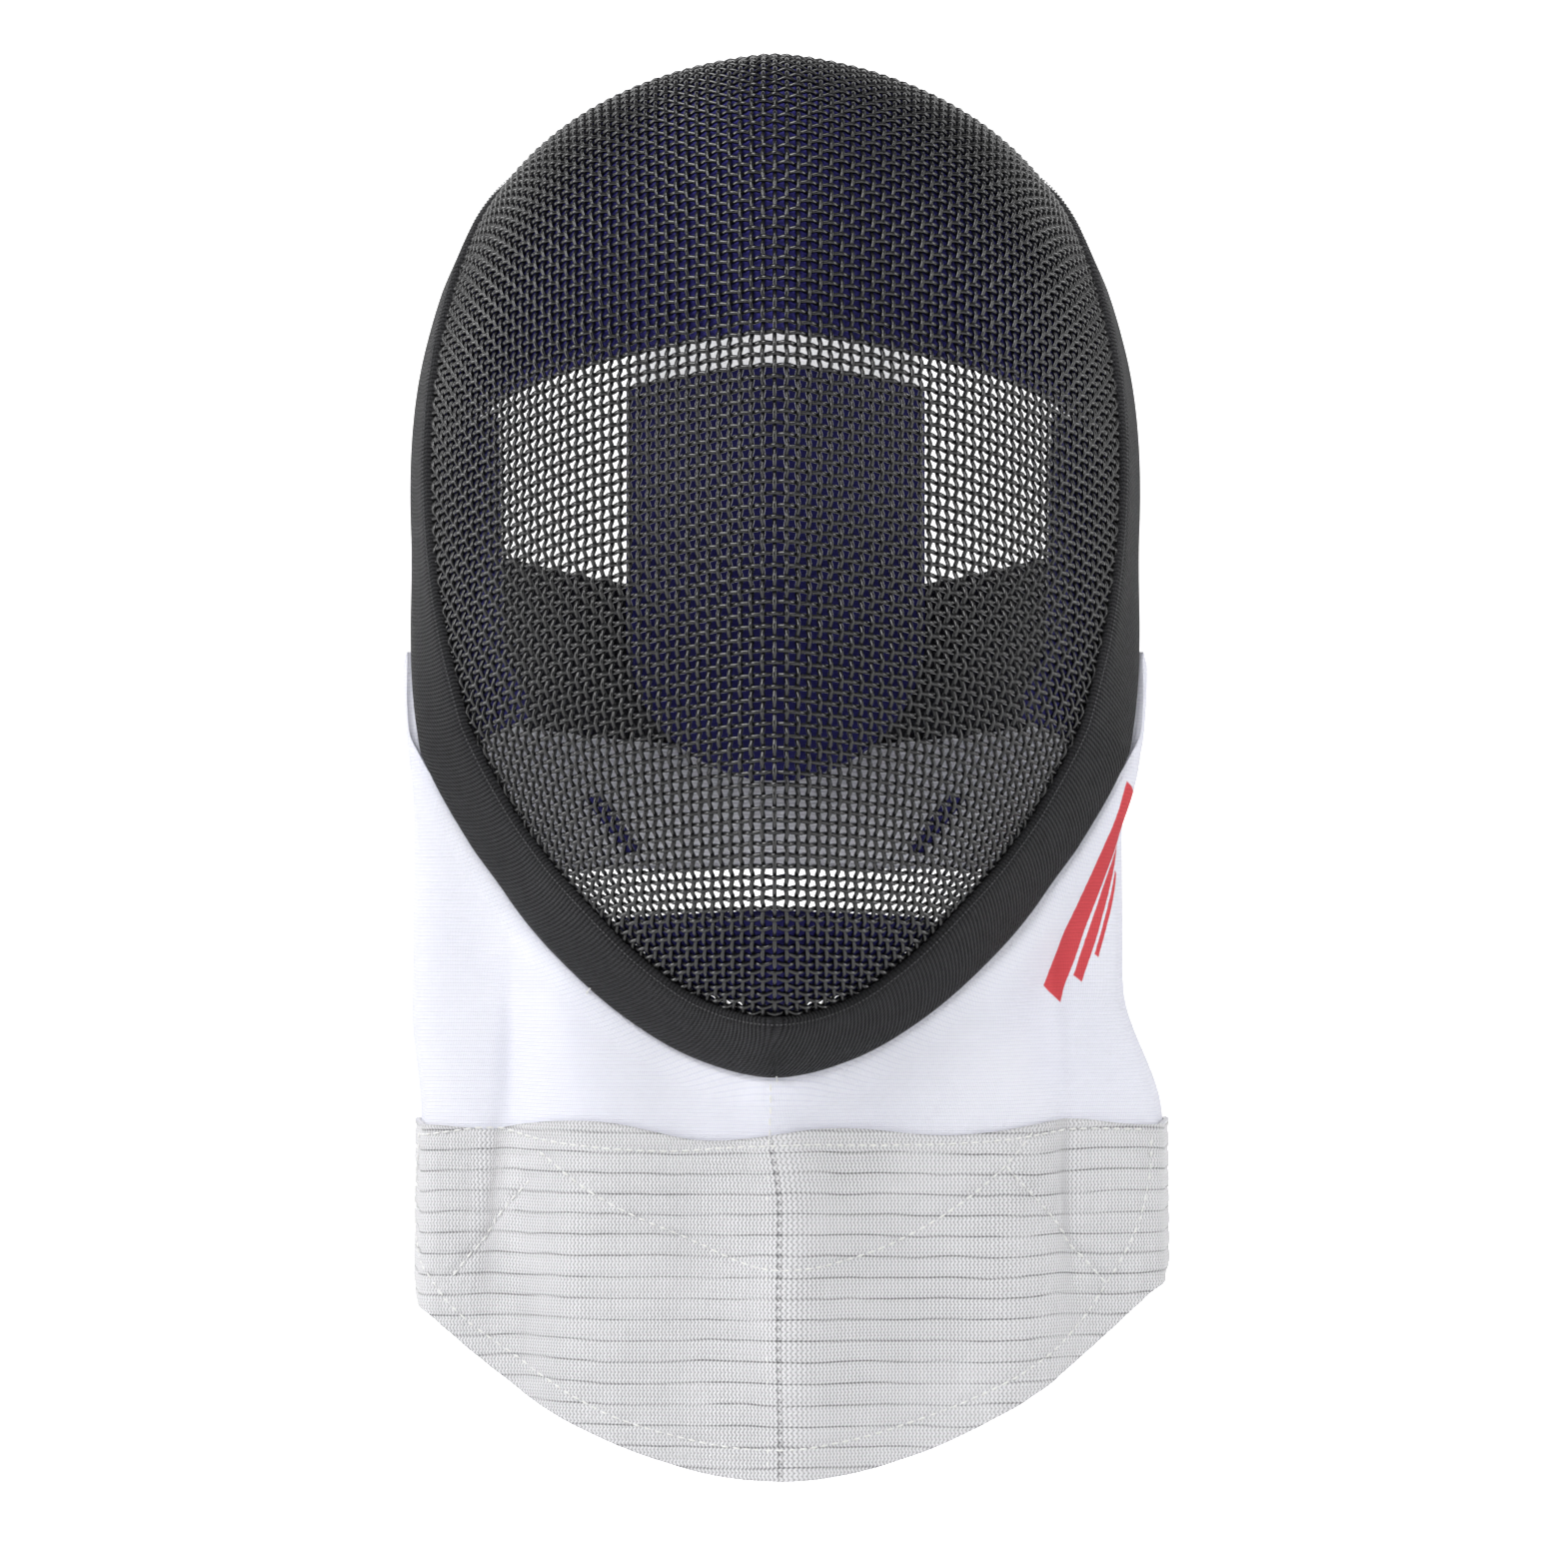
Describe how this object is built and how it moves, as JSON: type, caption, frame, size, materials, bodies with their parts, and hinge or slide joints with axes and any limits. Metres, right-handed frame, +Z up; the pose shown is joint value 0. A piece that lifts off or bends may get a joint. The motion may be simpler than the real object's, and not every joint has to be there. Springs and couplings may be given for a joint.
{
  "type": "fencing mask",
  "caption": "Fencing mask with a woven wire-mesh face, knit edge band, cloth bib with a conductive lower panel, padded liner, tongue and elastic back straps.",
  "frame": {"origin": "where the top of the head meets the inner face of the forehead pad, on the mask's centre line", "axes": "+Z up, the mask faces -Y, +X to the viewer's right as seen from the front"},
  "size_m": [0.2091, 0.2026, 0.38],
  "materials": {
    "black_mesh": "satin gunmetal coating",
    "charcoal_knit": "matt fine rib",
    "white_cloth": "matt close weave",
    "conductive_cloth": "dull metallic knit",
    "navy_cloth": "matt",
    "pale_sleeve": "matt",
    "black_elastic": "matt ribbed elastic",
    "tab_knit": "matt",
    "pale_elastic": "matt ribbed elastic"
  },
  "bodies": {
    "root": {"mesh_cage": "black_mesh", "edge_binding": "charcoal_knit", "bib_cloth": "white_cloth", "bib_conductive_panel": "conductive_cloth", "forehead_pad": "navy_cloth", "side_pad_left": "navy_cloth", "side_pad_right": "navy_cloth", "chin_pad": "navy_cloth", "chin_tape_left": "navy_cloth", "chin_tape_right": "navy_cloth", "tongue_pad": "navy_cloth", "tongue_sleeve": "pale_sleeve", "back_strap": "black_elastic", "strap_tab_left": "tab_knit", "strap_tab_right": "tab_knit", "neck_band": "pale_elastic"}
  },
  "joints": []
}
